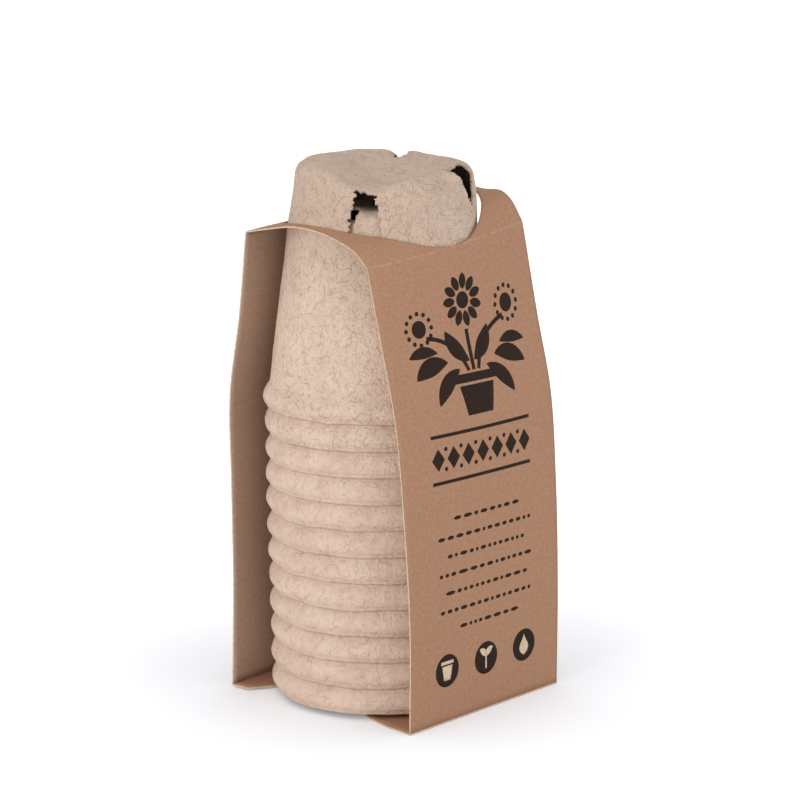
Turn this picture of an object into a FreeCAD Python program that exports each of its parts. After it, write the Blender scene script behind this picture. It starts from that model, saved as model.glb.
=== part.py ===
"""Twelve pressed-fibre pots, nested upside down in a folded card sleeve.

Millimetres, +Z up. The origin lies under the middle of the stack, on the surface it stands on.
X runs along the width of the sleeve and -Y points at its front panel.
"""
import FreeCAD, Part
import math
import os

# Fibre pot, measured upwards from its rim, because the pots stand upside down
pot_count = 12
rim_radius = 40.0
pot_height = 80.2
wall = 0.85
nest_pitch = 8.6
nest_gap = 0.35
bead_gap = 0.4
bead_depth = 2.4
bead_middle_height = 3.7
bead_edge_tuck = 1.5
base_corner = 4.8
base_dish = 2.0

# Drainage slits, wedges torn through the corner between wall and base
slit_count = 4
slit_height = 18.0
slit_foot_width = 4.0
slit_head_width = 8.0
slit_reach = 6.5
first_slit_angle = -57.0
slit_angle_step = 77.0

# Card sleeve, one bent strip that is open at both sides
card = 0.5
rim_gap = 0.8
wall_gap = 0.35
belly = 1.2
front_crease_drop = 27.1
back_crease_drop = 21.1
crown_rise = 7.9
crown_left_sink = 4.4
crown_right_lift = 5.8
front_turn = 1.1
hole_gap = 1.1
hole_side_strip = 3.05
front_edge_fall = 3.9
back_edge_fall = 5.0

# Heights of the upright panels' rows as shares of the way up to the top rim, then of the way
# from there to the crease, and how much of the belly and of the side edges' fall each row takes
upright_height_shares = (0.0, 0.35, 0.7, 1.0)
leaning_height_shares = (0.5, 1.0)
upright_belly_shares = (0.0, 1.0, 0.75, 0.0)
front_fall_shares = (0.0, 0.0, 0.18, 0.58, 0.5, 1.0)
back_fall_shares = (0.3, 0.9, 1.0, 1.0, 0.95, 1.0)

# How much each of the front panel's rows takes of its turn, which brings the right edge forward
front_turn_shares = (0.0, 0.0, 0.6, 1.0, 1.0, 0.7)

# The top between its two creases: how far back each row lies, and how much of the rise it takes
top_depth_shares = (0.09, 0.27, 0.59, 0.82)
top_rise_shares = (0.76, 1.0, 0.89, 0.52)

# The top's twist, low on the left and high on the right, from the front crease to the back one
left_sink_shares = (0.5, 1.0, 0.8, 0.52, 0.55, 0.25)
right_lift_shares = (0.74, 0.83, 1.0, 0.83, 0.34, -0.09)

# Places across the width where the card's section is drawn, as shares of half the width
section_shares = (-1.0, -0.67, -0.33, 0.0, 0.33, 0.67, 1.0)

# Bottom flaps, folded in under the pots, the front one below the back one
flap_length = 51.0
flap_gap = 0.05
rim_float = 0.3
front_flap_length_shares = (0.0, 0.22, 0.42, 0.68, 1.0)
front_flap_width_shares = (1.0, 0.97, 0.89, 0.74, 0.5)
back_flap_length_shares = (0.0, 0.15, 0.36, 0.94, 1.0)
back_flap_width_shares = (1.0, 1.0, 0.59, 0.55, 0.5)

# Overrun of every cut past the face it opens
overrun = 2.0

# Places that follow from the sizes above
wall_slope = (wall + nest_gap) / nest_pitch
bead_height = nest_pitch - bead_gap
base_corner_height = pot_height - base_corner
base_radius = rim_radius - bead_depth - wall_slope * (base_corner_height - bead_height)
lower_flap_top = card
upper_flap_floor = lower_flap_top + flap_gap
upper_flap_top = upper_flap_floor + card
first_rim_height = upper_flap_top + rim_float
top_rim_height = first_rim_height + (pot_count - 1) * nest_pitch
front_crease_height = top_rim_height + pot_height - front_crease_drop
back_crease_height = top_rim_height + pot_height - back_crease_drop
upright_face = rim_radius + rim_gap + card


def wall_radius(height):
    """Outer radius of a pot's straight wall at a height above its rim."""
    return base_radius + wall_slope * (base_corner_height - height)


def dish_halfway(edge_radius):
    """Radius and depth, below its edge, of the dish's point halfway to the middle."""
    ball = (edge_radius ** 2 + base_dish ** 2) / (2 * base_dish)
    half_turn = math.asin(edge_radius / ball) / 2
    return ball * math.sin(half_turn), base_dish - ball * (1 - math.cos(half_turn))


def pot_profile():
    """Half section of a pot as a closed face in the XZ plane."""
    def at(radius, height):
        return FreeCAD.Vector(radius, 0, height)

    turn = math.sqrt(0.5)
    corner_centre = base_radius - base_corner
    inner_corner = base_corner - wall
    halfway, halfway_depth = dish_halfway(corner_centre)
    rim_foot = at(rim_radius - bead_edge_tuck, 0)
    bead_top = at(wall_radius(bead_height), bead_height)
    wall_top = at(base_radius, base_corner_height)
    corner_middle = at(corner_centre + base_corner * turn, base_corner_height + base_corner * turn)
    base_edge = at(corner_centre, pot_height)
    base_middle = at(0, pot_height - base_dish)
    inner_middle = at(0, pot_height - base_dish - wall)
    inner_base_edge = at(corner_centre, pot_height - wall)
    inner_corner_middle = at(corner_centre + inner_corner * turn,
                             base_corner_height + inner_corner * turn)
    inner_wall_top = at(base_radius - wall, base_corner_height)
    inner_bead_top = at(wall_radius(bead_height) - wall, bead_height)
    inner_rim_foot = at(wall_radius(0) - wall, 0)
    edges = [
        Part.Arc(rim_foot, at(rim_radius, bead_middle_height), bead_top).toShape(),
        Part.LineSegment(bead_top, wall_top).toShape(),
        Part.Arc(wall_top, corner_middle, base_edge).toShape(),
        Part.Arc(base_edge, at(halfway, pot_height - halfway_depth), base_middle).toShape(),
        Part.LineSegment(base_middle, inner_middle).toShape(),
        Part.Arc(inner_middle, at(halfway, pot_height - halfway_depth - wall), inner_base_edge).toShape(),
        Part.Arc(inner_base_edge, inner_corner_middle, inner_wall_top).toShape(),
        Part.LineSegment(inner_wall_top, inner_bead_top).toShape(),
        Part.Arc(inner_bead_top, at(rim_radius - wall, bead_middle_height), inner_rim_foot).toShape(),
        Part.LineSegment(inner_rim_foot, rim_foot).toShape(),
    ]
    return Part.Face(Part.Wire(edges))


def slit_wedge():
    """Wedge that opens one slit, narrow low on the wall and wide at the base."""
    foot = pot_height - slit_height
    head = pot_height + overrun
    outline = [
        FreeCAD.Vector(base_radius - slit_reach, -slit_foot_width / 2, foot),
        FreeCAD.Vector(base_radius - slit_reach, slit_foot_width / 2, foot),
        FreeCAD.Vector(base_radius - slit_reach, slit_head_width / 2, head),
        FreeCAD.Vector(base_radius - slit_reach, -slit_head_width / 2, head),
    ]
    face = Part.Face(Part.makePolygon(outline + outline[:1]))
    return face.extrude(FreeCAD.Vector(slit_reach + base_corner + overrun, 0, 0))


def fibre_pot(index):
    """One pot at its place in the stack, with its slits turned by its own angle."""
    up = FreeCAD.Vector(0, 0, 1)
    origin = FreeCAD.Vector(0, 0, 0)
    pot = pot_profile().revolve(origin, up, 360)
    wedge = slit_wedge()
    for slit in range(slit_count):
        cutter = wedge.copy()
        cutter.rotate(origin, up, first_slit_angle + 360 * slit / slit_count)
        pot = pot.cut(cutter)
    pot.rotate(origin, up, slit_angle_step * (pot_count - 1 - index))
    pot.translate(FreeCAD.Vector(0, 0, first_rim_height + index * nest_pitch))
    return pot


def face_over_pots(height):
    """Depth of the card's outer face at mid width, where it leans on the top pot's wall."""
    return wall_radius(height - top_rim_height) + wall_gap + card


hole_radius = face_over_pots(front_crease_height) - card - wall_gap + hole_gap
half_width = hole_radius + hole_side_strip


def panel_rows(bottom, crease_height, edge_fall, fall_shares, side_share):
    """Outer face of one upright panel from its bottom edge to its crease, as depth and height."""
    bow = side_share ** 2
    top_bead = top_rim_height + bead_middle_height
    rows = []
    for height_share, belly_share in zip(upright_height_shares, upright_belly_shares):
        rows.append((upright_face + belly * belly_share, bottom + (top_bead - bottom) * height_share))
    for height_share in leaning_height_shares:
        height = top_bead + (crease_height - top_bead) * height_share
        rows.append((face_over_pots(height), height))
    return [(depth - edge_fall * share * bow, height)
            for (depth, height), share in zip(rows, fall_shares)]


def twisted(crown, side_share):
    """The top's rows, sunk on the left and lifted on the right of mid width."""
    rows = []
    for (y, height), sink, lift in zip(crown, left_sink_shares, right_lift_shares):
        left, right = -crown_left_sink * sink, crown_right_lift * lift
        rows.append((y, height + (left + right) / 2 + (right - left) / 2 * side_share))
    return rows


def sleeve_line(side_share):
    """The card's outer face at one place across the width: up the front, over, down the back."""
    front = panel_rows(lower_flap_top + flap_gap, front_crease_height, front_edge_fall,
                       front_fall_shares, side_share)
    back = panel_rows(upper_flap_top + flap_gap, back_crease_height, back_edge_fall,
                      back_fall_shares, side_share)
    front = [(depth + front_turn * share * side_share, height)
             for (depth, height), share in zip(front, front_turn_shares)]
    front_y, back_y = -front[-1][0], back[-1][0]
    crown = [(front_y, front_crease_height)]
    for depth_share, rise_share in zip(top_depth_shares, top_rise_shares):
        height = front_crease_height + (back_crease_height - front_crease_height) * depth_share
        crown.append((front_y + (back_y - front_y) * depth_share, height + crown_rise * rise_share))
    crown.append((back_y, back_crease_height))
    upright_front = [(-depth, height) for depth, height in front[:-1]]
    return upright_front + twisted(crown, side_share) + list(reversed(back[:-1]))


def inner_line(line):
    """The line moved inwards by the card's thickness, with square corners."""
    normals = []
    for (y0, z0), (y1, z1) in zip(line, line[1:]):
        length = math.hypot(y1 - y0, z1 - z0)
        normals.append(((z1 - z0) / length, (y0 - y1) / length))
    moved = []
    for place, (y, z) in enumerate(line):
        ay, az = normals[max(place - 1, 0)]
        by, bz = normals[min(place, len(normals) - 1)]
        reach = card / (1 + ay * by + az * bz)
        moved.append((y + (ay + by) * reach, z + (az + bz) * reach))
    moved[0] = (moved[0][0], line[0][1])
    moved[-1] = (moved[-1][0], line[-1][1])
    return moved


def sleeve_wrap():
    """Front, top and back of the sleeve in one bent strip, with the round hole for the top pot."""
    sections = []
    for side_share in section_shares:
        line = sleeve_line(side_share)
        loop = line + list(reversed(inner_line(line)))
        points = [FreeCAD.Vector(side_share * half_width, y, z) for y, z in loop]
        sections.append(Part.makePolygon(points + points[:1]))
    strip = Part.makeLoft(sections, True, True)
    hole_floor = (top_rim_height + front_crease_height) / 2
    hole_height = back_crease_height + crown_rise + crown_right_lift + overrun - hole_floor
    hole = Part.makeCylinder(hole_radius, hole_height, FreeCAD.Vector(0, 0, hole_floor))
    return strip.cut(hole)


def bottom_flap(side, floor, length_shares, width_shares):
    """One flap of the card, hinged at the foot of the panel on the given side of the stack."""
    right = [FreeCAD.Vector(half_width * width, side * (upright_face - flap_length * length), floor)
             for length, width in zip(length_shares, width_shares)]
    left = [FreeCAD.Vector(-corner.x, corner.y, floor) for corner in reversed(right)]
    outline = right + left
    face = Part.Face(Part.makePolygon(outline + outline[:1]))
    return face.extrude(FreeCAD.Vector(0, 0, card))


def build_nodes():
    """Every separate piece of the pack under its own name."""
    nodes = {"sleeve_wrap": sleeve_wrap()}
    nodes["front_bottom_flap"] = bottom_flap(-1, 0, front_flap_length_shares, front_flap_width_shares)
    nodes["back_bottom_flap"] = bottom_flap(1, upper_flap_floor, back_flap_length_shares,
                                            back_flap_width_shares)
    for index in range(pot_count):
        nodes["pot_%02d" % (index + 1)] = fibre_pot(index)
    return nodes


os.makedirs("parts", exist_ok=True)
for name, shape in build_nodes().items():
    shape.exportStep("parts/%s.step" % name)
    box = shape.BoundBox
    print("%-18s solids %d valid %s volume %.0f x %.1f..%.1f y %.1f..%.1f z %.1f..%.1f" % (
        name, len(shape.Solids), shape.isValid(), shape.Volume,
        box.XMin, box.XMax, box.YMin, box.YMax, box.ZMin, box.ZMax))
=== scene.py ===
# %% [markdown]
# # A pack of twelve pressed-fibre plant pots
#
# The object is a stack of round pots, nested upside down, in a sleeve folded from one strip of brown kraft
# card. The card leaves both sides open and has a round hole on top, through which the topmost pot stands
# out. The CAD model gives every size and says what moves: the pots turn, and two flaps under the pack fold
# down. Here each piece gets the form and the finish that a hand and an eye would find on the real one.

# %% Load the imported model
import math
from functools import lru_cache

import bmesh
import bpy
import numpy as np
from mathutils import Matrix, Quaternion, Vector, noise


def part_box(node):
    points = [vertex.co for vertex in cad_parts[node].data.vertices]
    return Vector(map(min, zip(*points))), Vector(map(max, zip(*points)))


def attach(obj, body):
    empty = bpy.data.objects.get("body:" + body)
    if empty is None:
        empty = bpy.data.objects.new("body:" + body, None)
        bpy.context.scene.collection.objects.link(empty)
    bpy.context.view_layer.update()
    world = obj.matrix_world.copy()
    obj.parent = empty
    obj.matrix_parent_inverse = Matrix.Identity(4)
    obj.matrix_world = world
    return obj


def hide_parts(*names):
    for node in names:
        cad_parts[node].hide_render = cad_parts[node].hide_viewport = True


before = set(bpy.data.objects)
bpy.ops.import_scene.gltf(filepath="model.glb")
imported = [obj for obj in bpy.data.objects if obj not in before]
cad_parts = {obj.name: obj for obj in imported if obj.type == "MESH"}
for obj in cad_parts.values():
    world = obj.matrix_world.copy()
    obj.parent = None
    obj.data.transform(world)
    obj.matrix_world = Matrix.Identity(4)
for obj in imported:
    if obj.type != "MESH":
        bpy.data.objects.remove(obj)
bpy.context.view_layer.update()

mm = 0.001

# %% [markdown]
# ## Sizes
#
# Most sizes are read from the CAD model's own boxes, so the looks stay in step with it when a size changes.
# What a box can't tell, such as the thickness of the fibre, is named here once, in real millimetres.

# %% Read the stack's sizes
pots = sorted(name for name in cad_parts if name.startswith("pot_"))
first_low, first_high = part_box(pots[0])
top_low, top_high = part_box(pots[-1])
rim_radius = first_high.x
pot_height = first_high.z - first_low.z
nest_pitch = (top_low.z - first_low.z) / (len(pots) - 1)
top_rim = top_low.z
print(len(pots), "pots, rim radius", round(rim_radius / mm, 2), "pitch", round(nest_pitch / mm, 2))

# %% Name the fibre's sizes
wall = 0.85 * mm
nest_gap = 0.35 * mm
bead_gap = 0.4 * mm
bead_depth = 2.4 * mm
bead_edge_tuck = 0.45 * mm
base_corner = 4.8 * mm
base_dish = 2.0 * mm
bead_height = nest_pitch - bead_gap
wall_slope = (wall + nest_gap) / nest_pitch
wall_end = pot_height - base_corner
base_radius = rim_radius - bead_depth - wall_slope * (wall_end - bead_height)


def wall_radius(height):
    """Outer radius of a pot's straight wall at a height above its rim."""
    return base_radius + wall_slope * (wall_end - height)


print("base radius in mm", round(base_radius / mm, 2))

# %% [markdown]
# ## Helpers
#
# Every piece ends the same way: its bmesh becomes an object, gets its material, rides on a CAD body and, but
# for the print, stands for a CAD node, whose own mesh it hides. One function does that, so no piece is left
# floating.


# %% Finish a piece
def add_object(name, data):
    """Puts a mesh, a lamp or a camera in the scene."""
    thing = bpy.data.objects.new(name, data)
    bpy.context.scene.collection.objects.link(thing)
    return thing


def add_mesh(name, shape, materials):
    """Turns a bmesh into an object with its materials."""
    mesh = bpy.data.meshes.new(name)
    shape.to_mesh(mesh)
    shape.free()
    for material in materials:
        mesh.materials.append(material)
    return add_object(name, mesh)


def add_piece(name, shape, materials, body, node=None):
    """Turns a bmesh into a smooth piece that rides on a body of the CAD model."""
    piece = add_mesh(name, shape, materials)
    for face in piece.data.polygons:
        face.use_smooth = True
    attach(piece, body)
    if node:
        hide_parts(node)
    return piece


def give_thickness(piece, thickness, rim_material=0, inside_material=0):
    """Gives a sheet its thickness inwards from the face that is seen."""
    solidify = piece.modifiers.new("thickness", "SOLIDIFY")
    solidify.thickness = thickness
    solidify.offset = -1
    solidify.use_even_offset = True
    solidify.material_offset = inside_material
    solidify.material_offset_rim = rim_material


print("CAD nodes to dress", len(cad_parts))

# %% [markdown]
# ## Material helpers
#
# Paper and pulp are made of fibres, and their finish is a sum of small things: blotches, hairs, specks and a
# rough skin. Each is a noise pattern in the object's own millimetres. A hair is the thin line along which a
# smooth noise crosses its middle value, kept only where a second noise allows it, so it starts and stops.


# %% Build materials from small node helpers
def add_node(tree, kind, sockets, **settings):
    """Adds a shader node, sets it up, and feeds its sockets with values or with other nodes' outputs."""
    node = tree.nodes.new("ShaderNode" + kind)
    for setting, value in settings.items():
        setattr(node, setting, value)
    for socket, value in sockets.items():
        if isinstance(value, bpy.types.NodeSocket):
            tree.links.new(value, node.inputs[socket])
        else:
            node.inputs[socket].default_value = value
    return node


class Finish:
    """A material under construction, with short calls for the nodes used here."""

    def __init__(self, name, roughness, gloss=0.25):
        self.material = bpy.data.materials.new(name)
        self.material.use_nodes = True
        self.tree = self.material.node_tree
        self.shader = self.tree.nodes["Principled BSDF"]
        self.shader.inputs["Roughness"].default_value = roughness
        self.shader.inputs["Specular IOR Level"].default_value = gloss

    def add(self, kind, output, sockets, **settings):
        """Adds a node and hands back one of its outputs."""
        return add_node(self.tree, kind, sockets, **settings).outputs[output]

    def coordinates(self, kind="Object"):
        return self.add("TexCoord", kind, {})

    def axis(self, coordinates, name):
        """One of the three numbers of the coordinates."""
        return self.add("SeparateXYZ", name, {"Vector": coordinates})

    def stretched(self, coordinates, scale):
        """The coordinates stretched, so a pattern runs in one direction."""
        return self.add("Mapping", "Vector", {"Vector": coordinates, "Scale": scale})

    def noise(self, coordinates, size, detail=3.0, warp=0.0, rough=0.5):
        """Smooth noise whose lumps are about as many metres across as the size says."""
        return self.add("TexNoise", "Fac", {"Vector": coordinates, "Scale": 1 / size, "Detail": detail,
                                            "Distortion": warp, "Roughness": rough})

    def remap(self, value, low, high, out_low=0.0, out_high=1.0):
        """Moves values between low and high to a new span, clamped at both ends."""
        return self.add("MapRange", "Result", {"Value": value, "From Min": low, "From Max": high,
                                               "To Min": out_low, "To Max": out_high},
                        interpolation_type="SMOOTHSTEP")

    def maths(self, operation, first, second=0.0):
        return self.add("Math", "Value", {0: first, 1: second}, operation=operation)

    def hairs(self, coordinates, size, thickness, keep):
        """Thin broken lines: where a noise crosses its middle and a second noise is above keep."""
        field = self.noise(coordinates, size, detail=1.0, warp=0.6)
        distance = self.maths("ABSOLUTE", self.maths("SUBTRACT", field, 0.5))
        line = self.remap(distance, 0.0, thickness, 1.0, 0.0)
        broken = self.remap(self.noise(coordinates, size * 0.55, detail=1.0), keep, keep + 0.06)
        return self.maths("MULTIPLY", line, broken)

    def specks(self, coordinates, spacing, radius, share):
        """Small round dots, one in some of the cells of a Voronoi pattern."""
        cells = add_node(self.tree, "TexVoronoi", {"Vector": coordinates, "Scale": 1 / spacing})
        dot = self.remap(cells.outputs["Distance"], radius * 0.5 / spacing, radius / spacing, 1.0, 0.0)
        luck = self.add("SeparateColor", "Red", {"Color": cells.outputs["Color"]})
        chosen = self.remap(luck, 1 - share, 1 - share + 0.02)
        return self.maths("MULTIPLY", dot, chosen)

    def mix(self, share, first, second):
        """Blends two colours by a share."""
        return self.add("Mix", "Result", {"Factor": share, "A": first, "B": second}, data_type="RGBA")

    def tint(self, colour, *layers):
        """Lays more colours over this one, each where its mask allows it and as strongly as told."""
        for mask, strength, other in layers:
            colour = self.mix(self.maths("MULTIPLY", mask, strength), colour, other)
        return colour

    def bump(self, height, distance, strength, under=None):
        """Roughens the skin, on top of another bump where one is given."""
        sockets = {"Height": height, "Strength": strength, "Distance": distance}
        if under:
            sockets["Normal"] = under
        return self.add("Bump", "Normal", sockets)

    def wear(self, colour, normal):
        """Puts the finished colour and normal on the shader."""
        self.tree.links.new(colour, self.shader.inputs["Base Color"])
        self.tree.links.new(normal, self.shader.inputs["Normal"])
        return self.material


def linear(red, green, blue):
    """A colour given as 0 to 255 on screen, as the linear values that a shader takes."""
    def channel(value):
        share = value / 255
        return share / 12.92 if share <= 0.04045 else ((share + 0.055) / 1.055) ** 2.4
    return (channel(red), channel(green), channel(blue), 1.0)


print("mid grey in linear light", round(linear(128, 128, 128)[0], 3))

# %% [markdown]
# ## The pots' finish
#
# The pots are pressed from wet wood pulp and peat-like fibre and dried in the mould. Their skin is a pale
# greyish beige, blotched, with fine hairs that lie every way, dark specks and hairline cracks. It has no
# gloss at all. The lumps that a finger would feel are in the mesh, and only the skin's grain is bump here.


# %% Make the fibre material
pulp = linear(209, 180, 159)
pale_pulp = linear(220, 193, 171)
clouded_pulp = linear(229, 204, 182)
pale_hair = linear(240, 218, 198)
brown_hair = linear(158, 127, 105)
brown_speck = linear(120, 95, 76)
# Painted shade: the top of a pot is mixed towards this dark grey between the two heights below.
painted_shade_grey = linear(122, 98, 84)
shade_from = 125 * mm
shade_full = 160 * mm


def make_fibre(name, coarseness, top_shade_strength=0.0):
    """Pressed pulp, with hairs and lumps as strong as the coarseness says, and painted shade that darkens and
    greys its top as strongly as asked.
    """
    fibre = Finish(name, roughness=0.93)
    place = fibre.coordinates()
    blotches = fibre.remap(fibre.noise(place, 9 * mm, detail=4.0, warp=0.4), 0.35, 0.65)
    clouds = fibre.remap(fibre.noise(place, 2.2 * mm, detail=3.0), 0.3, 0.7)
    pale_hairs = fibre.hairs(place, 2.1 * mm, 0.06, 0.47)
    dark_hairs = fibre.hairs(place, 6.5 * mm, 0.020, 0.49)
    fine_hairs = fibre.hairs(place, 2.6 * mm, 0.034, 0.50)
    specks = fibre.specks(place, 3.4 * mm, 0.30 * mm, 0.22)
    # Painted shade: the colour turns darker and greyer towards the top.
    grey = fibre.remap(fibre.axis(place, "Z"), shade_from, shade_full, 0.0, top_shade_strength)
    colour = fibre.mix(blotches, pulp, pale_pulp)
    colour = fibre.tint(colour, (clouds, 0.45, clouded_pulp), (pale_hairs, 0.35 * coarseness, pale_hair),
                        (dark_hairs, 0.42 * coarseness, brown_hair),
                        (fine_hairs, 0.22 * coarseness, brown_hair), (specks, 0.7, brown_speck))
    colour = fibre.mix(grey, colour, painted_shade_grey)
    lumps = fibre.noise(place, 2.4 * mm, detail=5.0, rough=0.65)
    normal = fibre.bump(lumps, 0.8 * mm, 0.8 * coarseness)
    ridges = fibre.maths("SUBTRACT", pale_hairs, fibre.maths("MAXIMUM", dark_hairs, fine_hairs))
    normal = fibre.bump(ridges, 0.2 * mm, 0.9 * coarseness, under=normal)
    return fibre.wear(colour, normal)


fibre_finish = make_fibre("pressed_fibre", 0.7)
# The coarse finish has a little painted shade on its top, and the shaded inside a great deal.
coarse_finish = make_fibre("coarse_pressed_fibre", 0.85, top_shade_strength=0.24)
shaded_finish = make_fibre("shaded_inside", 0.6, top_shade_strength=0.85)
print("made", fibre_finish.name, coarse_finish.name, shaded_finish.name)

# %% [markdown]
# ## The card's finish
#
# Kraft card is brown paper board: a warm brown with short flecks of paler and darker fibre, all lying
# roughly along the strip. Where it is cut the core shows paler, and where it is scored the skin cracks to a
# pale line. The pattern follows a UV map laid out in real millimetres on the flat strip, so it bends with
# the card.

# %% Make the card materials
pale_fleck = linear(208, 172, 142)
dark_fleck = linear(132, 95, 70)
card_speck = linear(112, 80, 60)
cracked_fold = linear(204, 168, 138)
fold_width = 0.55 * mm
fold_wander = 1.2 * mm


def make_card(name, dark, pale, fleck_strength, folds=()):
    """Flecked paper board, with a worn line at every fold, each given as a way along the strip."""
    card = Finish(name, roughness=0.82)
    place = card.coordinates("UV")
    along = card.stretched(place, (1.0, 0.8, 1.0))
    blotches = card.remap(card.noise(along, 1.1 * mm, detail=3.0, rough=0.6), 0.32, 0.68)
    pale_flecks = card.hairs(along, 1.3 * mm, 0.09, 0.52)
    dark_flecks = card.hairs(along, 1.5 * mm, 0.08, 0.54)
    specks = card.specks(place, 5.5 * mm, 0.35 * mm, 0.25)
    colour = card.mix(blotches, dark, pale)
    colour = card.tint(colour, (pale_flecks, fleck_strength, pale_fleck),
                       (dark_flecks, fleck_strength, dark_fleck), (specks, 0.5, card_speck))
    ragged = card.maths("MULTIPLY", card.noise(place, 4 * mm), fold_wander)
    wandering = card.maths("ADD", card.axis(place, "Y"), ragged)
    for way in folds:
        distance = card.maths("SUBTRACT", wandering, way + fold_wander / 2)
        line = card.remap(card.maths("ABSOLUTE", distance), 0.0, fold_width, 1.0, 0.0)
        worn = card.remap(card.noise(place, 3 * mm), 0.35, 0.65, 0.0, 0.45)
        colour = card.tint(colour, (line, worn, cracked_fold))
    grain = card.noise(along, 0.8 * mm, detail=4.0, rough=0.6)
    return card.wear(colour, card.bump(grain, 0.08 * mm, 0.45))


def make_ink():
    """Dull black ink that the card's fibres break through here and there."""
    ink = Finish("dark_ink", roughness=0.8, gloss=0.15)
    place = ink.coordinates("UV")
    worn = ink.remap(ink.noise(place, 0.7 * mm, detail=3.0), 0.60, 0.78, 0.0, 0.35)
    colour = ink.mix(worn, linear(42, 29, 21), linear(112, 84, 66))
    return ink.wear(colour, ink.bump(ink.noise(place, 0.8 * mm), 0.05 * mm, 0.4))


cut_edge_finish = make_card("card_cut_edge", linear(205, 178, 152), linear(222, 198, 172), 0.25)
print("made", cut_edge_finish.name)

# %% [markdown]
# ## A pot's shape
#
# A pot is a round shell, so half of its outline is drawn once and spun about the upright axis. The outline
# starts at the rim, swells into the rolled bead, runs up the tapering wall, rounds the corner and ends in the
# middle of the base, which dips a little. A spin with merge closes the shell; only the middle then needs its
# doubled points joined. The wall gets its thickness at the very end, when all denting is done.


# %% Draw the outline and spin it
bead_fullest_share = 0.45
rim_line_depth = 0.24 * mm
rim_line_height = 1.35 * mm
rim_line_width = 0.35 * mm


def bead_swell(height):
    """How far the rolled bead stands out from the wall's own line."""
    share = min(height / bead_height, 1.0)
    full = rim_radius - wall_radius(bead_height * bead_fullest_share)
    rim_line = rim_line_depth * math.exp(-((height - rim_line_height) / rim_line_width) ** 2)
    return full * math.sin(math.pi * share) - bead_edge_tuck * (1 - share) ** 4 - rim_line


def pot_outline(bead_rows, wall_rows, corner_rows, base_rows):
    """Points up one side of a pot, as radius and height above its rim."""
    points = []
    for row in range(bead_rows):
        height = bead_height * row / bead_rows
        points.append((wall_radius(height) + bead_swell(height), height))
    for row in range(wall_rows):
        height = bead_height + (wall_end - bead_height) * row / wall_rows
        points.append((wall_radius(height), height))
    dish_edge = base_radius - base_corner
    for row in range(corner_rows):
        turn = math.pi / 2 * row / corner_rows
        points.append((dish_edge + base_corner * math.cos(turn), wall_end + base_corner * math.sin(turn)))
    for row in range(base_rows + 1):
        share = 1 - row / base_rows
        points.append((dish_edge * share, pot_height - base_dish * (1 - share ** 2)))
    return points


def spin_pot(rim_height, steps, rows):
    """One closed-topped shell, standing on its rim at the given height."""
    shape = bmesh.new()
    line = [shape.verts.new((radius, 0, rim_height + height)) for radius, height in pot_outline(*rows)]
    edges = [shape.edges.new(pair) for pair in zip(line, line[1:])]
    bmesh.ops.spin(shape, geom=line + edges, cent=(0, 0, 0), axis=(0, 0, 1), angle=2 * math.pi,
                   steps=steps, use_merge=True)
    bmesh.ops.remove_doubles(shape, verts=shape.verts, dist=0.01 * mm)
    bmesh.ops.recalc_face_normals(shape, faces=shape.faces)
    shape.normal_update()
    return shape


print("bead stands out in mm by", round(bead_swell(bead_height / 2) / mm, 2))

# %% [markdown]
# ## Hand-made unevenness
#
# Pressed pulp is never a true circle: the bead swells and sinks as it goes round, the rim's edge lifts here
# and there, and the wall has soft lumps. Each point is moved along its own normal by smooth noise, mostly
# inwards, so the pot stays inside the space that the CAD model keeps for it.


# %% Press the pot unevenly
lump_size = 13 * mm
ripple_size = 4.5 * mm
lump_depth = 0.36 * mm
ripple_depth = 0.13 * mm
rim_lift = 0.4 * mm
bead_sink = 0.25 * mm
inward_share = 0.3
ring_radius = 2.6


def press_unevenly(shape, rim_height, seed):
    """Moves every point a little, as a hand-pressed pulp pot would have it."""
    shift = Vector((seed * 1.7, seed * 2.9, seed * 4.1))
    for point in shape.verts:
        height = point.co.z - rim_height
        lump = noise.noise(point.co / lump_size + shift) - inward_share
        ripple = noise.noise(point.co / ripple_size + shift * 2)
        point.co += point.normal * (lump * lump_depth + ripple * ripple_depth)
        bead = max(0.0, 1 - height / bead_height)
        if bead > 0:
            angle = math.atan2(point.co.y, point.co.x)
            ring = Vector((math.cos(angle) * ring_radius, math.sin(angle) * ring_radius, seed * 3.3))
            swell = bead_sink * min(1, bead * 3) * (noise.noise(ring * 2) * 0.5 - 0.4)
            point.co.xy *= 1 + swell / rim_radius
            point.co.z += rim_lift * bead ** 3 * (noise.noise(ring * 1.6 + shift) + 0.5)
    shape.normal_update()


print("lumps in mm across and deep", round(lump_size / mm, 1), round(lump_depth / mm, 2))

# %% [markdown]
# ## Torn drainage slits
#
# Four slits are punched through the corner between wall and base, and the pulp tears as the punch goes
# through. A slit is cut by pulling the nearest points onto its ragged edge and deleting the faces between
# the two edges. The distance along the outline, counted from the edge of the base down the wall, places it.

# %% Cut ragged slits
corner_length = base_corner * math.pi / 2
tear_size = 1.6 * mm
slit_margin = 3 * mm


def ramp(value, start, span):
    """Rises evenly from 0 to 1 while the value passes over the span."""
    return min(1.0, max(0.0, (value - start) / span))


def way_down(point, rim_height):
    """Distance from the base's edge over the corner and down the wall, below zero on the base itself."""
    height = point.z - rim_height
    if height < wall_end:
        return corner_length + wall_end - height
    out = math.hypot(point.x, point.y) - (base_radius - base_corner)
    if out <= 0:
        return out
    return base_corner * math.atan2(out, max(height - wall_end, 0.0))


def slit_sizes(angle, width, foot_share, start, end, tear):
    """One slit, told in degrees and millimetres, with its foot's width as a share of its width."""
    return {"angle": angle, "width": width * mm, "foot_share": foot_share, "from": start * mm,
            "to": end * mm, "tear": tear * mm}


def slit_half_width(slit, way, side):
    """Half the slit's width at one way down, with its own ragged edge on each side."""
    taper = 1 + (slit["foot_share"] - 1) * ramp(way, slit["from"], slit["to"] - slit["from"])
    tear = noise.noise(Vector((way / tear_size, side * 7.3, slit["angle"])))
    return slit["width"] / 2 * taper + tear * slit["tear"]


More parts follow.
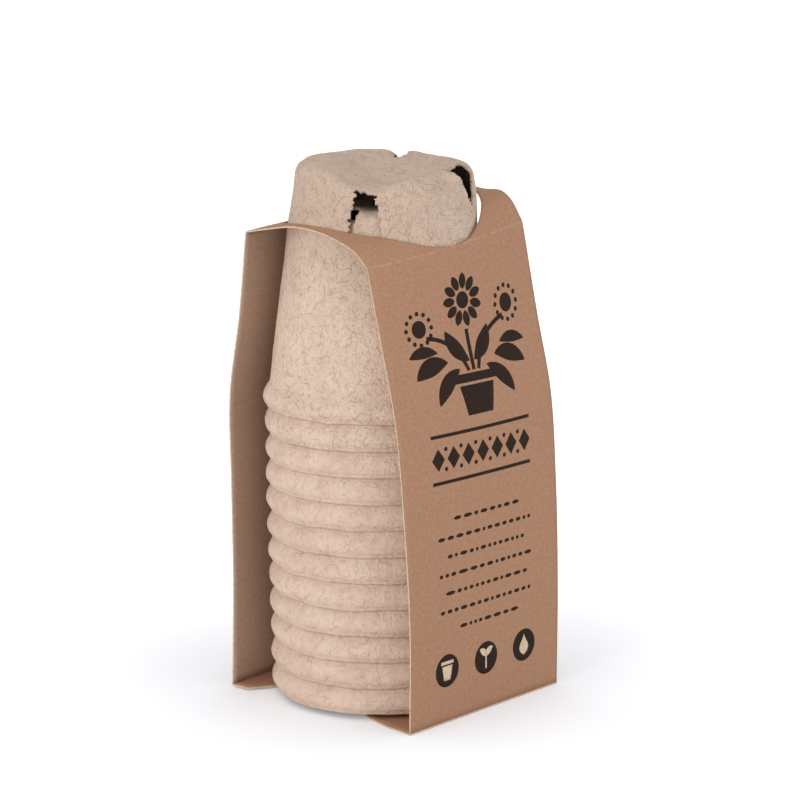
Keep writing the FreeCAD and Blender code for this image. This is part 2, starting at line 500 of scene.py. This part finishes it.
def cut_slit(shape, rim_height, steps, slit):
    """Opens one slit in a shell that was spun in so many steps."""
    middle = Quaternion((0, 0, 1), math.radians(slit["angle"]))
    into = middle.inverted()
    ways = {}
    for point in shape.verts:
        local = into @ point.co
        way = way_down(point.co, rim_height)
        if local.x <= 0 or not slit["from"] - slit_margin < way < slit["to"] + slit_margin:
            continue
        radius = math.hypot(local.x, local.y)
        across = math.atan2(local.y, local.x) * radius
        ways[point] = (way, across, radius)
    spacing = 2 * math.pi * base_radius / steps
    for point, (way, across, radius) in ways.items():
        side = 1 if across > 0 else -1
        edge = side * slit_half_width(slit, way, side)
        if slit["from"] < way < slit["to"] and abs(across - edge) < spacing / 2:
            turn = math.radians(slit["angle"]) + edge / radius
            point.co.xy = (radius * math.cos(turn), radius * math.sin(turn))
            ways[point] = (way, edge, radius)
    opened = []
    for face in shape.faces:
        corners = [ways.get(point) for point in face.verts]
        if None in corners:
            continue
        way = sum(corner[0] for corner in corners) / len(corners)
        across = sum(corner[1] for corner in corners) / len(corners)
        jag = noise.noise(Vector((across / tear_size, slit["angle"], 0))) * slit["tear"] * 2
        inside = abs(across) < slit_half_width(slit, way, 1 if across > 0 else -1)
        if inside and slit["from"] + jag < way < slit["to"] + jag:
            opened.append(face)
    bmesh.ops.delete(shape, geom=opened, context="FACES")


print("way round the base's corner in mm", round(corner_length / mm, 2))

# %% [markdown]
# ## A base that was pushed in
#
# The stack was pressed into its sleeve by hand. The topmost base sank along a valley that runs from the
# torn opening in front to a notch at the back, with a lobe standing up on either side, the left one higher.
# The pot below gave way as well. The push is a formula in two directions, along the valley and across it,
# and the wall follows with less and less of it.

# %% Push the valley into the base
valley_angle = math.radians(29.5)
valley_spans = [span * base_radius for span in (-1.0, -0.45, 0.0, 0.55, 1.0)]
valley_depths = [depth * mm for depth in (6.8, 5.0, 3.2, 1.9, 2.4)]
valley_widths = (1.0, 1.0, 0.85, 0.45, 0.10)
right_sinks = [sink * mm for sink in (3.7, 3.7, 3.0, 2.0, 1.4)]
valley_left_width = 13 * mm
valley_right_width = 10 * mm
push_reach = 26 * mm
push_fade_power = 1.3
crumple_size = 9 * mm
crumple_depth = 0.6 * mm
crumple_shift = Vector((3, 1, 8))


def push_valley(shape, rim_height, strength=1.0):
    """Sinks the base along the valley, less and less down the wall."""
    top = rim_height + pot_height
    cosine, sine = math.cos(valley_angle), math.sin(valley_angle)
    for point in shape.verts:
        reach = 1 - (top - point.co.z) / push_reach
        if reach <= 0:
            continue
        along = point.co.x * cosine + point.co.y * sine
        across = point.co.y * cosine - point.co.x * sine
        width = valley_left_width if across > 0 else valley_right_width
        width *= np.interp(along, valley_spans, valley_widths)
        depth = np.interp(along, valley_spans, valley_depths) * math.exp(-(across / width) ** 2)
        lobe = np.interp(along, valley_spans, right_sinks) * ramp(-across, 0, valley_right_width)
        point.co.z -= (depth + lobe) * strength * reach ** push_fade_power
        crumple = noise.noise(point.co / crumple_size + crumple_shift)
        point.co.z -= max(0.0, crumple + 0.1) * crumple_depth * reach
    shape.normal_update()


print("valley's greatest depth in mm", round(max(valley_depths) / mm, 1))

# %% [markdown]
# ## The eleven nested pots
#
# Of these only the beads, a strip of wall inside the pot above and, through the slits, a bit of corner can be
# seen, but a pot that is turned or seen from below shows all of its inside. So they are whole pots in a
# somewhat coarser mesh, each with its own seed and its own slits. A pot's rows are counted up its bead, its
# wall, its corner and its base.

# %% Make the nested pots
slits_a_pot = 4
slit_turn = 77.0
first_slit = -57.0
second_pot_push = 0.8
nested_steps = 256
nested_rows = (22, 14, 8, 8)
plain_slit = (7.6, 0.5, -0.5, 22, 0.5)
for index, name in enumerate(pots[:-1]):
    rim_height = first_low.z + index * nest_pitch
    pots_above = len(pots) - 1 - index
    shell = spin_pot(rim_height, nested_steps, nested_rows)
    for number in range(slits_a_pot):
        turn = first_slit + 360 / slits_a_pot * number + slit_turn * pots_above
        slit = slit_sizes((turn + 180) % 360 - 180, *plain_slit)
        cut_slit(shell, rim_height, nested_steps, slit)
    finish = fibre_finish
    if pots_above == 1:
        push_valley(shell, rim_height, second_pot_push)
        # This finish paints a little shade over the top of the pot.
        finish = coarse_finish
    press_unevenly(shell, rim_height, index + 1)
    pot = add_piece("fibre_" + name, shell, [finish], name, name)
    give_thickness(pot, wall)
print("faces of a nested pot", len(pot.data.polygons))

# %% [markdown]
# ## The topmost pot
#
# This is the piece that the eye goes to. The same spin starts it, in a finer mesh, and its slits are torn
# wider, each by its own amount. In front the tear is so wide that the next pot's shoulder shows in it.

# %% Make the topmost pot
top_lean = 0.7 * mm
lean_from = 0.6
left_dent = 0.5 * mm
right_swell = 1.4 * mm
swell_angle = -46
swell_from, swell_rise = 0.68, 0.16
slit_lip_dent = 2.6 * mm
lip_angle = -86
lip_spread = 14
lip_from, lip_rise = 0.7, 0.2
dent_fade = 12 * mm


def push_aside(shape, rim_height):
    """Leans the pot to the right, dents its left, swells its right and sinks one lip of the wide slit."""
    for point in shape.verts:
        up = max(0.0, (point.co.z - rim_height - bead_height) / (pot_height - bead_height))
        angle = math.degrees(math.atan2(point.co.y, point.co.x))
        radius = math.hypot(point.co.x, point.co.y)
        outwards = ramp(radius, dent_fade, dent_fade)
        rightness = outwards * max(0.0, math.cos(math.radians(angle - swell_angle))) ** 2
        lip = math.exp(-((angle - lip_angle) / lip_spread) ** 2) * ramp(up, lip_from, lip_rise)
        leftness = outwards * max(0.0, -math.cos(math.radians(angle)))
        inward = left_dent * up * leftness + slit_lip_dent * lip * outwards
        inward -= right_swell * rightness * ramp(up, swell_from, swell_rise)
        point.co.xy *= 1 - inward / max(radius, 1 * mm)
        point.co.x += top_lean * ramp(up, lean_from, 1 - lean_from)
    shape.normal_update()


top_steps = 384
top_rows = (24, 52, 14, 22)
top_seed = 0.4
top_slits = ((-147.5, 6.0, 1.9, 3.6, 24, 1.2), (-65.0, 13.0, 0.15, -1.0, 16, 0.6),
             (27.0, 5.0, 0.4, -3.0, 15, 0.9), (123.0, 2.6, 0.4, 2.0, 14, 0.5))
shell = spin_pot(top_rim, top_steps, top_rows)
for sizes in top_slits:
    cut_slit(shell, top_rim, top_steps, slit_sizes(*sizes))
push_valley(shell, top_rim)
push_aside(shell, top_rim)
press_unevenly(shell, top_rim, top_seed)
# Both finishes paint shade over the pot's top: a little outside, and much more inside, where it stands for
# the dark hollow.
top_finishes = [coarse_finish, shaded_finish]
top_pot = add_piece("fibre_" + pots[-1], shell, top_finishes, pots[-1], pots[-1])
give_thickness(top_pot, wall, inside_material=1)
print("faces of the topmost pot", len(top_pot.data.polygons))

# %% [markdown]
# ## The sleeve's form
#
# The sleeve is one strip of card: up the front, over the top pot, down the back. Nothing stretches in card,
# so the strip is laid out flat first, in distance across and distance along, and a function then says where
# each flat place lies once the strip is bent. The middle of each panel is held out by the pots, its free
# side edges fall back, and the top rises to a crown that is twisted, low on the left and high on the right.

# %% Name the sleeve's sizes
card = 0.5 * mm
wall_gap = 0.35 * mm
belly = 1.0 * mm
crown_rise = 7.9 * mm
hole_gap = 0.8 * mm
bead_clearance = 0.8 * mm
front_crease_drop = 27.1 * mm
back_crease_drop = 21.1 * mm
flap_gap = 0.05 * mm
bead_widest = 3.7 * mm
wrap_low, wrap_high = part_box("sleeve_wrap")
half_width = wrap_high.x
upright_face = rim_radius + bead_clearance + card
total_height = top_high.z
front_crease_height = total_height - front_crease_drop
back_crease_height = total_height - back_crease_drop
front_foot = wrap_low.z
back_foot = front_foot + card + flap_gap
top_bead_height = top_rim + bead_widest


def face_over_pots(height):
    """Depth of the card's outer face where it leans on the top pot's wall."""
    return wall_radius(height - top_rim) + wall_gap + card


hole_radius = wall_radius(front_crease_height - top_rim) + hole_gap
print("card in mm: half width", round(half_width / mm, 2), "hole radius", round(hole_radius / mm, 2))

# %% Say where the strip's line runs at one place across its width
row_shares = (0.0, 0.35, 0.7, 1.0)
belly_shares = (0.0, 1.0, 0.75, 0.0)
front_falls = [share * 3.9 * mm for share in (0.0, 0.0, 0.18, 0.58, 0.5, 1.0)]
back_falls = [share * 5.0 * mm for share in (0.3, 0.9, 1.0, 1.0, 0.95, 1.0)]
front_turns = [share * 1.1 * mm for share in (0.0, 0.0, 0.6, 1.0, 1.0, 0.7)]
crown_depth_shares = (0.09, 0.27, 0.59, 0.82)
crown_rise_shares = (0.76, 1.0, 0.89, 0.52)
left_lifts = [lift * mm for lift in (-2.2, -4.4, -3.5, -2.3, -2.4, -1.1)]
right_lifts = [lift * mm for lift in (4.3, 4.8, 5.8, 4.8, 2.0, -0.5)]


def panel_knots(foot, crease_height, falls, turns, share):
    """Depth and height of the rows of one upright panel, from its foot to its crease."""
    rows = [(upright_face + belly * bulge, foot + (top_bead_height - foot) * up)
            for up, bulge in zip(row_shares, belly_shares)]
    for up in (0.5, 1.0):
        height = top_bead_height + (crease_height - top_bead_height) * up
        rows.append((face_over_pots(height), height))
    return [(depth - fall * share ** 2 + turn * share, height)
            for (depth, height), fall, turn in zip(rows, falls, turns)]


def strip_knots(share):
    """Depth and height of every row of the strip, up the front, over the top and down the back."""
    front = panel_knots(front_foot, front_crease_height, front_falls, front_turns, share)
    back = panel_knots(back_foot, back_crease_height, back_falls, [0.0] * len(back_falls), share)
    knots = [(-depth, height) for depth, height in front]
    front_y, back_y = -front[-1][0], back[-1][0]
    for along, rise in zip(crown_depth_shares, crown_rise_shares):
        height = front_crease_height + (back_crease_height - front_crease_height) * along
        knots.append((front_y + (back_y - front_y) * along, height + crown_rise * rise))
    knots += reversed(back)
    for place, lifts in enumerate(zip(left_lifts, right_lifts), start=len(front) - 1):
        y, z = knots[place]
        knots[place] = (y, z + np.interp(share, (-1, 1), lifts))
    return knots


print("the strip's line has", len(strip_knots(0.0)), "rows")

# %% [markdown]
# A smooth curve through the rows makes the bend. A cubic between two rows takes its slope at each row from
# the rows on either side, as Blender's automatic handles do. The two creases break the curve into three
# pieces, so the card stays sharp there. The way along the strip is measured on its middle line, so a place
# keeps its distance from the foot whatever the twist does. Beside the hole on the right the narrow strip of
# card sinks a little.

# %% Bend the flat strip
middle_knots = np.array(strip_knots(0.0))
knot_ways = np.concatenate([[0.0], np.cumsum(np.hypot(*np.diff(middle_knots, axis=0).T))])
strip_length = knot_ways[-1]
front_crease_row = len(front_falls) - 1
back_crease_row = len(middle_knots) - len(back_falls)
pieces = (slice(front_crease_row + 1), slice(front_crease_row, back_crease_row + 1),
          slice(back_crease_row, None))
front_crease_way = knot_ways[front_crease_row]
back_crease_way = knot_ways[back_crease_row]
right_strip_drop = 2.0 * mm
drop_from_share = 0.8
drop_reach = 21 * mm
drop_fade = 10 * mm


@lru_cache(maxsize=4096)
def piece_curve(piece_number, share):
    """Rows of one piece of the strip at one place across, with the curve's slope at each."""
    piece = pieces[piece_number]
    ways = knot_ways[piece]
    knots = np.array(strip_knots(share))[piece]
    return ways, knots, np.gradient(knots, ways, axis=0)


def soft_step(value, low, high):
    """Rises smoothly from 0 to 1 between low and high."""
    t = ramp(value, low, high - low)
    return t * t * (3 - 2 * t)


def strip_place(across, way):
    """Where the card's outer face lies, for a place on the flat strip."""
    piece_number = int(way > front_crease_way) + int(way > back_crease_way)
    ways, knots, slopes = piece_curve(piece_number, round(across / half_width, 6))
    left = int(np.clip(np.searchsorted(ways, way) - 1, 0, len(ways) - 2))
    length = ways[left + 1] - ways[left]
    t = (way - ways[left]) / length
    y, z = ((2 * t ** 3 - 3 * t ** 2 + 1) * knots[left] + (t ** 3 - 2 * t ** 2 + t) * length * slopes[left]
            + (3 * t ** 2 - 2 * t ** 3) * knots[left + 1] + (t ** 3 - t ** 2) * length * slopes[left + 1])
    if piece_number == 1:
        beside_pot = soft_step(drop_reach - abs(y), 0, drop_fade)
        z -= right_strip_drop * soft_step(across / half_width, drop_from_share, 1.0) * beside_pot
    return Vector((across, y, z))


def strip_lift(across, way, lift):
    """The same place, lifted off the card's outer face."""
    step = 0.3 * mm
    here = strip_place(across, way)
    to_right = strip_place(across + step, way) - here
    upwards = strip_place(across, way + step) - here
    return here + to_right.cross(upwards).normalized() * lift


print("strip in mm: length", round(strip_length / mm, 1), "front crease", round(front_crease_way / mm, 1))

# %% [markdown]
# ## Cutting the hole
#
# The hole is round when seen from above, and its back is fitted to end just before the crease. The flat grid
# has a slit opened along its middle line, just as long as the hole, and each row is then pulled outwards
# until its inner end lies on the circle. So the edge of the hole is a clean line of points, with no boolean
# and no ragged faces.

# %% Find the hole's ends and its width on each row
crease_margin = 0.3 * mm
search_before = 15 * mm
search_past = 25 * mm
back_stretch = hole_radius / (middle_knots[back_crease_row][0] - crease_margin)


def hole_depth(across, way):
    """How far front or back a place is, stretched at the back so that the hole ends at the crease there."""
    y = strip_place(across, way).y
    return -y if y < 0 else y * back_stretch


def hole_half_width(way):
    """Half the hole's width across one row of the strip, found by a few steps towards the circle."""
    across = 0.0
    for _ in range(12):
        across = math.sqrt(max(0.0, hole_radius ** 2 - hole_depth(across, way) ** 2))
    return across


def hole_end(inside, outside):
    """The way at which the hole begins on the middle line, between one way inside it and one outside."""
    for _ in range(40):
        middle = (inside + outside) / 2
        if hole_depth(0.0, middle) < hole_radius:
            inside = middle
        else:
            outside = middle
    return (inside + outside) / 2


hole_middle = (front_crease_way + back_crease_way) / 2
hole_start = hole_end(hole_middle, front_crease_way - search_before)
hole_stop = hole_end(hole_middle, back_crease_way + search_past)
print("hole runs in mm from", round(hole_start / mm, 1), "to", round(hole_stop / mm, 1))

# %% Lay out the rows and make the strip
columns_each_side = 16
hole_steps = 84
front_rows = list(np.linspace(0.0, hole_start, 62))
hole_rows = [hole_start + (hole_stop - hole_start) * (1 - math.cos(math.pi * row / hole_steps)) / 2
             for row in range(1, hole_steps)]
back_rows = list(np.linspace(hole_stop, strip_length, 60))
strip_rows = front_rows + hole_rows + back_rows
first_open = len(front_rows)
last_open = first_open + len(hole_rows) - 1


def map_flat(shape, places):
    """Writes each point's place on the flat strip into the UV map that the card's pattern follows."""
    flat = shape.loops.layers.uv.new("flat_strip")
    for face in shape.faces:
        for loop in face.loops:
            loop[flat].uv = places[loop.vert]


def make_strip():
    """The bent strip with its hole, as one sheet without thickness."""
    shape = bmesh.new()
    bmesh.ops.create_grid(shape, x_segments=2 * columns_each_side, y_segments=len(strip_rows) - 1, size=1)

    def place_of(point):
        column = round(point.co.x * columns_each_side)
        row = round((point.co.y + 1) / 2 * (len(strip_rows) - 1))
        return column, row

    layout = {point: place_of(point) for point in shape.verts}
    middle = [edge for edge in shape.edges
              if all(layout[point][0] == 0 and first_open - 1 <= layout[point][1] <= last_open + 1
                     for point in edge.verts)]
    bmesh.ops.split_edges(shape, edges=middle)
    open_widths = {row: hole_half_width(strip_rows[row]) for row in range(first_open, last_open + 1)}
    finished = {}
    for point in shape.verts:
        column, row = place_of(point)
        inner = open_widths.get(row, 0.0)
        leaning = sum(face.calc_center_median().x for face in point.link_faces)
        side = 1 if leaning > 0 else -1
        across = side * inner + column / columns_each_side * (half_width - inner)
        finished[point] = (across, strip_rows[row])
    for point, (across, way) in finished.items():
        point.co = strip_place(across, way)
    map_flat(shape, finished)
    bmesh.ops.recalc_face_normals(shape, faces=shape.faces)
    shape.normal_update()
    lowest = min(shape.faces, key=lambda face: face.calc_center_median().z)
    if lowest.normal.y * lowest.calc_center_median().y < 0:
        bmesh.ops.reverse_faces(shape, faces=shape.faces)
    return shape


kraft_finish = make_card("kraft_card", linear(165, 123, 95), linear(174, 132, 104), 0.18,
                         folds=(front_crease_way, back_crease_way))
inside_finish = make_card("kraft_card_inside", linear(184, 156, 134), linear(195, 167, 145), 0.20)
card_finishes = [kraft_finish, cut_edge_finish, inside_finish]
sleeve = add_piece("card_sleeve", make_strip(), card_finishes, "sleeve", "sleeve_wrap")
give_thickness(sleeve, card, rim_material=1, inside_material=2)
print("faces of the sleeve", len(sleeve.data.polygons))

# %% [markdown]
# ## The print
#
# The front panel carries a dark print, a plain garden design: a flower in a pot, a band of lozenges, rows of
# seeds and three round marks. Ink lies on the card as a film, so each stroke is a thin sheet, drawn on the
# flat strip and bent with it. A stroke is a grid laid along a line, as wide as the pen presses. The drawing's
# numbers are millimetres on the flat strip, across from its middle and up from its foot.


# %% Draw a stroke on the flat strip
def bend(start, end, sag=0.0):
    """A line from start to end in flat millimetres, bowed to its left by the sag."""
    start = Vector(start)
    end = Vector(end)
    aside = Vector((start.y - end.y, end.x - start.x)).normalized() * sag * 2
    return lambda t: start * (1 - t) ** 2 + (start + end + 2 * aside) * t * (1 - t) + end * t ** 2


def leaf(width, sharpness=0.8):
    """Half widths of a leaf, pointed at both ends."""
    return lambda t: width * max(0.0, math.sin(math.pi * t)) ** sharpness


def add_stroke(shape, spine, half_width_at, lengthwise=12, crosswise=4):
    """Adds one stroke to a drawing: a grid along the spine."""
    grid = bmesh.ops.create_grid(shape, x_segments=lengthwise, y_segments=crosswise, size=1)
    for point in grid["verts"]:
        t, side = (point.co.x + 1) / 2, point.co.y
        ahead = spine(t + 0.01) - spine(t - 0.01)
        aside = Vector((-ahead.y, ahead.x)).normalized() * side * half_width_at(t)
        point.co.xy = (spine(t) + aside) * mm


def add_disc(shape, centre, radius):
    """Adds a round spot, as a stroke that runs across the circle."""
    middle = Vector(centre)
    add_stroke(shape, lambda t: middle - Vector((radius * math.cos(math.pi * t), 0)),
               lambda t: radius * math.sin(math.pi * t), 14, 6)


def lay_print(name, shape, material, lift):
    """Bends a flat drawing onto the sleeve as a film of ink."""
    bmesh.ops.remove_doubles(shape, verts=shape.verts, dist=0.004 * mm)
    bmesh.ops.recalc_face_normals(shape, faces=shape.faces)
    bmesh.ops.reverse_faces(shape, faces=[face for face in shape.faces if face.normal.z < 0])
    map_flat(shape, {point: point.co.xy for point in shape.verts})
    for point in shape.verts:
        point.co = strip_lift(point.co.x, point.co.y, lift)
    shape.normal_update()
    film = add_piece(name, shape, [material], "sleeve")
    give_thickness(film, lift)
    print("faces of", name, len(film.data.polygons))


# %% Draw the flower in its pot
drawing = bmesh.new()
add_stroke(drawing, bend((0, 97), (0, 106.5)), lambda t: 5.6 + 2.0 * t, 6, 8)
add_stroke(drawing, bend((0, 107.4), (0, 110.2)), lambda t: 9.2, 3, 10)
flower = Vector((0, 133.2))
leaves = (((1.0, 114), (9.5, 124.5), 2.7, -1.2), ((10.5, 114.6), (24.5, 110.5), 2.9, 1.6),
          ((6.0, 112), (17.0, 101.5), 2.6, 1.4), ((14.0, 118), (26.0, 117.5), 1.9, 1.2))
add_stroke(drawing, bend((0, 111), (0, 124)), lambda t: 0.75, 10, 2)
add_disc(drawing, flower, 2.7)
for petal in range(11):
    turn = 2 * math.pi * petal / 11 + 0.14
    outwards = Vector((math.sin(turn), -math.cos(turn)))
    add_stroke(drawing, bend(flower + outwards * 3.4, flower + outwards * 8.6), leaf(1.5, 0.6), 8, 4)
for side in (-1, 1):
    head = Vector((side * 20.0, 128.0 + side * 1.5))
    stalk = bend((side * 2.2, 111), head - Vector((side * 2.5, 3.4)), side * 3.0)
    add_stroke(drawing, stalk, lambda t: 0.7, 18, 2)
    add_disc(drawing, head, 2.9)
    for dot in range(12):
        turn = 2 * math.pi * dot / 12
        add_disc(drawing, head + Vector((math.cos(turn), math.sin(turn))) * 5.2, 0.75)
    for start, end, width, sag in leaves:
        middle_line = bend((side * start[0], start[1]), (side * end[0], end[1]), side * sag)
        add_stroke(drawing, middle_line, leaf(width))
print("flower drawn in", len(drawing.faces), "faces")

# %% Draw the band, the seed rows and the round marks
band_height = 85
lozenge_step = 6.6
seed_reaches = (14.0, 21.5, 17.5, 21.5, 19.0, 21.5, 12.5)
mark_step = 18.5
for lozenge in range(7):
    across = (lozenge - 3) * lozenge_step
    lozenge_line = bend((across - 2.7, band_height), (across + 2.7, band_height))
    add_stroke(drawing, lozenge_line, lambda t: 3.6 * (1 - abs(2 * t - 1)), 8, 6)
    if lozenge:
        add_disc(drawing, (across - lozenge_step / 2, band_height + 3.2), 0.7)
        add_disc(drawing, (across - lozenge_step / 2, band_height - 3.2), 0.7)
for height in (band_height - 7.4, band_height + 7.4):
    add_stroke(drawing, bend((-22.5, height), (22.5, height)), lambda t: 0.55, 30, 2)
for row, reach in enumerate(seed_reaches):
    height = 65.5 - row * 5.9
    across = -reach
    while across < reach:
        length = 1.3 + 2.3 * abs(noise.noise(Vector((across * 0.9, row * 3.7, 0.5)))) * 2
        add_stroke(drawing, bend((across, height), (across + length, height)), leaf(0.62, 0.4), 6, 2)
        across += length + 0.9
marks = bmesh.new()
for across in (-mark_step, 0.0, mark_step):
    add_disc(drawing, (across, 16.8), 5.4)
add_stroke(marks, bend((-mark_step, 13.6), (-mark_step, 18.4)), lambda t: 1.5 + 0.9 * t, 4, 4)
add_stroke(marks, bend((-mark_step, 18.9), (-mark_step, 20.0)), lambda t: 2.9, 2, 4)
add_stroke(marks, bend((0, 13.2), (0, 17.4)), lambda t: 0.35, 6, 2)
for side in (-1, 1):
    add_stroke(marks, bend((0, 17.0), (side * 3.2, 20.0), side * 0.6), leaf(1.1), 8, 4)
drop_line = bend((mark_step, 20.6), (mark_step, 13.4))
add_stroke(marks, drop_line, lambda t: 2.2 * math.sin(math.pi * t ** 1.6) ** 0.9, 10, 4)

ink_finish = make_ink()
lay_print("garden_print", drawing, ink_finish, 0.03 * mm)
lay_print("pale_marks", marks, cut_edge_finish, 0.05 * mm)

# %% [markdown]
# ## The flaps under the pack
#
# Front and back panel each end in a flap that is folded in under the pots and turns about its crease. A
# flap is narrower towards its free end, where its corners are cut away. A grid is narrowed row by row, from a
# few widths named along its way, and the flat places go into the UV map as on the sleeve.

# %% Make the two flaps
flap_length = 51.0 * mm
flap_shapes = {
    "front": {"side": -1, "node": "front_bottom_flap", "ways": (0.0, 0.22, 0.42, 0.68, 1.0),
              "widths": (1.0, 0.97, 0.89, 0.74, 0.5), "foot_fall": front_falls[0]},
    "back": {"side": 1, "node": "back_bottom_flap", "ways": (0.0, 0.15, 0.36, 0.94, 1.0),
             "widths": (1.0, 1.0, 0.59, 0.55, 0.5), "foot_fall": back_falls[0]},
}


def make_flap(flap, top):
    """A flat tapering flap as a sheet, with its upper face at the given height."""
    shape = bmesh.new()
    bmesh.ops.create_grid(shape, x_segments=24, y_segments=40, size=1)
    places = {}
    for point in shape.verts:
        along = (point.co.y + 1) / 2
        across = point.co.x * half_width * np.interp(along, flap["ways"], flap["widths"])
        places[point] = (across, -along * flap_length)
        fall = flap["foot_fall"] * (across / half_width) ** 2 * (1 - along)
        point.co = (across, flap["side"] * (upright_face - fall - along * flap_length), top)
    map_flat(shape, places)
    bmesh.ops.recalc_face_normals(shape, faces=shape.faces)
    shape.normal_update()
    shape.faces.ensure_lookup_table()
    if shape.faces[0].normal.z < 0:
        bmesh.ops.reverse_faces(shape, faces=shape.faces)
    return shape


for panel, flap in flap_shapes.items():
    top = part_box(flap["node"])[1].z
    sheet = make_flap(flap, top)
    body = panel + "_flap"
    piece = add_piece("card_" + body, sheet, card_finishes, body, flap["node"])
    give_thickness(piece, card, rim_material=1)
    print(piece.name, "rides on", body)

# %% [markdown]
# ## The floor, the light and the camera
#
# The pack stands on white paper under soft light, with a pale grey shadow at its foot. The floor is
# diffuse, and what the camera sees of it gets a little glow as well, so it comes out white and still keeps
# the shadow. The glow is weaker near the pack, which paints a soft shadow round its foot. The floor lies a
# hair below the flap, because two faces in one plane would fight over what is seen. The world behind is
# white where the camera sees it, and a soft pale light to everything else.

# %% Make the floor and the world
def seen_directly(tree):
    """One where a ray comes straight from the camera, or by way of gloss or glass."""
    path = add_node(tree, "LightPath", {})
    total = path.outputs["Is Camera Ray"]
    for kind in ("Is Glossy Ray", "Is Transmission Ray"):
        larger = add_node(tree, "Math", {0: total, 1: path.outputs[kind]}, operation="MAXIMUM")
        total = larger.outputs["Value"]
    return total


glow = 0.60
# Painted shadow: near the pack the glow falls to about a third of its strength.
glow_and_painted_shadow = {"From Min": 0.05, "From Max": 0.24, "To Min": 0.35 * glow, "To Max": glow}
floor_half_width = 6.0
floor_drop = 0.05 * mm


def make_floor_paper():
    """Matt white paper that glows a little where the camera sees it, less so near the pack, as a painted
    shadow.
    """
    paper = bpy.data.materials.new("white_paper")
    paper.use_nodes = True
    tree = paper.node_tree
    tree.nodes.clear()
    matt = add_node(tree, "BsdfDiffuse", {"Color": (0.86, 0.86, 0.88, 1)})
    place = add_node(tree, "TexCoord", {}).outputs["Object"]
    distance = add_node(tree, "VectorMath", {0: place}, operation="LENGTH").outputs["Value"]
    # Painted shadow: the glow grows with the distance from the pack.
    rise = add_node(tree, "MapRange", {"Value": distance, **glow_and_painted_shadow}).outputs["Result"]
    strength = add_node(tree, "Math", {0: seen_directly(tree), 1: rise}, operation="MULTIPLY")
    light = add_node(tree, "Emission", {"Strength": strength.outputs["Value"]})
    both = add_node(tree, "AddShader", {0: matt.outputs["BSDF"], 1: light.outputs["Emission"]})
    add_node(tree, "OutputMaterial", {"Surface": both.outputs["Shader"]})
    return paper


floor_shape = bmesh.new()
bmesh.ops.create_grid(floor_shape, x_segments=1, y_segments=1, size=floor_half_width)
bmesh.ops.translate(floor_shape, verts=floor_shape.verts, vec=(0, 0, -floor_drop))
floor = add_mesh("floor", floor_shape, [make_floor_paper()])

world = bpy.data.worlds.new("pale_room")
world.use_nodes = True
bpy.context.scene.world = world
room = world.node_tree
room_light = room.nodes["Background"]
room_light.inputs["Color"].default_value = (0.93, 0.96, 1.0, 1)
room_light.inputs["Strength"].default_value = 0.80
white = add_node(room, "Background", {"Color": (1, 1, 1, 1), "Strength": 1.0})
choice = add_node(room, "MixShader", {"Fac": seen_directly(room), 1: room_light.outputs["Background"],
                                      2: white.outputs["Background"]})
room.links.new(choice.outputs["Shader"], room.nodes["World Output"].inputs["Surface"])
print("floor and world ready")

# %% Hang the lamps
def hang_softbox(name, place, size, power, colour):
    """A square softbox that looks at the middle of the pack."""
    lamp = bpy.data.lights.new(name, "AREA")
    lamp.shape = "SQUARE"
    lamp.size = size
    lamp.energy = power
    lamp.color = colour
    holder = add_object(name, lamp)
    holder.location = place
    aim = Vector((0, 0, total_height / 2)) - Vector(place)
    holder.rotation_mode = "QUATERNION"
    holder.rotation_quaternion = aim.to_track_quat("-Z", "Y")
    print(name, "hangs", round(aim.length, 2), "m away")


hang_softbox("key_softbox", (0.2, -1.25, 0.55), 0.7, 3.6, (1.0, 0.985, 0.96))
hang_softbox("fill_softbox", (-1.3, -0.05, 0.42), 0.8, 6.3, (1.0, 0.985, 0.97))

# %% Place the camera
camera_turn = math.radians(46.5)
camera_rise = math.radians(11.6)
camera_roll = math.radians(-1.29)
camera_distance = 0.924
aim_point = Vector((3.17, -3.34, 96.4)) * mm
away = Vector((-math.sin(camera_turn) * math.cos(camera_rise),
               -math.cos(camera_turn) * math.cos(camera_rise),
               math.sin(camera_rise)))
lens = bpy.data.cameras.new("camera")
lens.sensor_width = 36.0
lens.lens = 127.8
lens.clip_start = 0.05
lens.clip_end = 20.0
camera = add_object("camera", lens)
camera.location = aim_point + away * camera_distance
camera.rotation_mode = "QUATERNION"
camera.rotation_quaternion = (-away).to_track_quat("-Z", "Y") @ Quaternion((0, 0, 1), camera_roll)
bpy.context.scene.camera = camera
bpy.context.scene.view_settings.view_transform = "Standard"
print("camera stands in mm at", [round(v / mm, 1) for v in camera.location])
